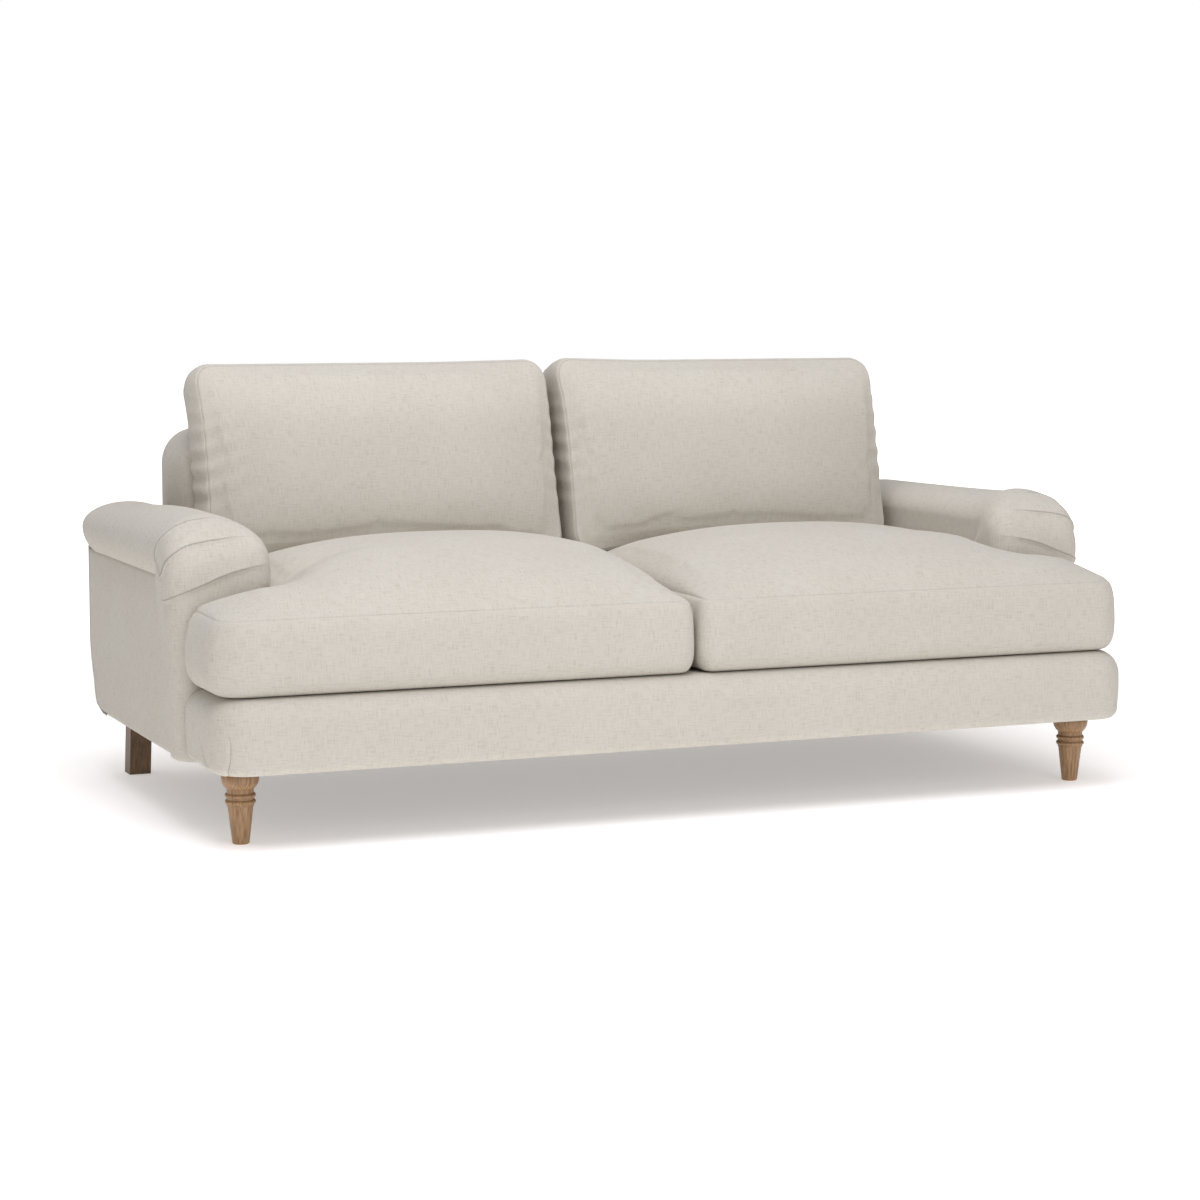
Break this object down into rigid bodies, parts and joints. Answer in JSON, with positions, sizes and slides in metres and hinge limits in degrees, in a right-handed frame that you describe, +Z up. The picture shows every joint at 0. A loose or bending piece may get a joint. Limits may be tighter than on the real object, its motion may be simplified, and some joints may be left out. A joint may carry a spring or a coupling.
{
  "type": "cinema sofa",
  "caption": "Deep sofa with rolled arms, loose seat and back cushions, a padded front border, turned wooden front legs and raked square rear legs.",
  "frame": {"origin": "On the floor, at the centre of the footprint (bottom centre of the bounding box).", "axes": "+X to the viewer's right along the seat, +Y to the back, +Z up."},
  "size_m": [2.14, 1.13, 0.9411],
  "materials": {
    "linen_cover": "plain weave, matt",
    "oak_legs": "light oak, matt lacquer",
    "dark_legs": "dark stained, matt",
    "frame_timber": "planed",
    "plywood": "sanded",
    "steel": "plain",
    "zinc": "zinc plated",
    "webbing": "woven elastic",
    "deck_cloth": "plain cloth over wadding",
    "dust_cloth": "spunbond",
    "foam": "open-cell foam",
    "zip_tape": "woven tape with nylon teeth"
  },
  "bodies": {
    "frame": {"front_rail": "frame_timber", "back_rail": "frame_timber", "spring_rail": "frame_timber", "side_rail_left": "frame_timber", "side_rail_right": "frame_timber", "centre_stretcher": "frame_timber", "corner_blocks": "frame_timber", "arm_front_post_left": "frame_timber", "arm_front_post_right": "frame_timber", "arm_rear_post_left": "frame_timber", "arm_rear_post_right": "frame_timber", "arm_top_rail_left": "frame_timber", "arm_top_rail_right": "frame_timber", "back_profile_left": "plywood", "back_profile_centre": "plywood", "back_profile_right": "plywood", "back_top_board": "plywood", "back_upper_rail": "frame_timber", "back_lower_rail": "frame_timber", "arm_screws": "steel", "seat_springs": "steel", "spring_clips": "zinc", "spring_ties": "webbing", "back_webbing": "webbing", "seat_deck": "deck_cloth", "dust_cover": "dust_cloth", "border_foam": "foam", "border_cover": "linen_cover", "arm_front_left": "linen_cover", "arm_front_right": "linen_cover", "arm_roll_left": "linen_cover", "arm_roll_right": "linen_cover", "inside_arm_left": "linen_cover", "inside_arm_right": "linen_cover", "outside_arm_left": "linen_cover", "outside_arm_right": "linen_cover", "inside_back": "linen_cover", "outside_back": "linen_cover", "front_leg_left": "oak_legs", "front_leg_right": "oak_legs", "rear_leg_left": "dark_legs", "rear_leg_right": "dark_legs", "hanger_bolts": "steel", "tee_nuts": "zinc"},
    "seat_cushion_left": {"seat_cushion_left": "linen_cover", "seat_core_left": "foam", "seat_zip_left": "zip_tape"},
    "seat_cushion_right": {"seat_cushion_right": "linen_cover", "seat_core_right": "foam", "seat_zip_right": "zip_tape"},
    "back_cushion_left": {"back_cushion_left": "linen_cover", "back_core_left": "foam", "back_zip_left": "zip_tape"},
    "back_cushion_right": {"back_cushion_right": "linen_cover", "back_core_right": "foam", "back_zip_right": "zip_tape"},
    "seat_zip_slider_left": {"seat_slider_left": "zinc"},
    "back_zip_slider_left": {"back_slider_left": "zinc"},
    "seat_zip_slider_right": {"seat_slider_right": "zinc"},
    "back_zip_slider_right": {"back_slider_right": "zinc"}
  },
  "joints": [
    {"name": "seat_cushion_left_out", "type": "slide", "parent": "frame", "child": "seat_cushion_left", "axis": [0, -1, 0], "range_m": [0, 0.85]},
    {"name": "back_cushion_left_lift", "type": "slide", "parent": "frame", "child": "back_cushion_left", "axis": [0, 0, 1], "range_m": [0, 0.5]},
    {"name": "seat_zip_left_slide", "type": "slide", "parent": "seat_cushion_left", "child": "seat_zip_slider_left", "axis": [1, 0, 0], "range_m": [0, 0.5]},
    {"name": "back_zip_left_slide", "type": "slide", "parent": "back_cushion_left", "child": "back_zip_slider_left", "axis": [1, 0, 0], "range_m": [0, 0.5]},
    {"name": "seat_cushion_right_out", "type": "slide", "parent": "frame", "child": "seat_cushion_right", "axis": [0, -1, 0], "range_m": [0, 0.85]},
    {"name": "back_cushion_right_lift", "type": "slide", "parent": "frame", "child": "back_cushion_right", "axis": [0, 0, 1], "range_m": [0, 0.5]},
    {"name": "seat_zip_right_slide", "type": "slide", "parent": "seat_cushion_right", "child": "seat_zip_slider_right", "axis": [-1, 0, 0], "range_m": [0, 0.5]},
    {"name": "back_zip_right_slide", "type": "slide", "parent": "back_cushion_right", "child": "back_zip_slider_right", "axis": [-1, 0, 0], "range_m": [0, 0.5]}
  ]
}
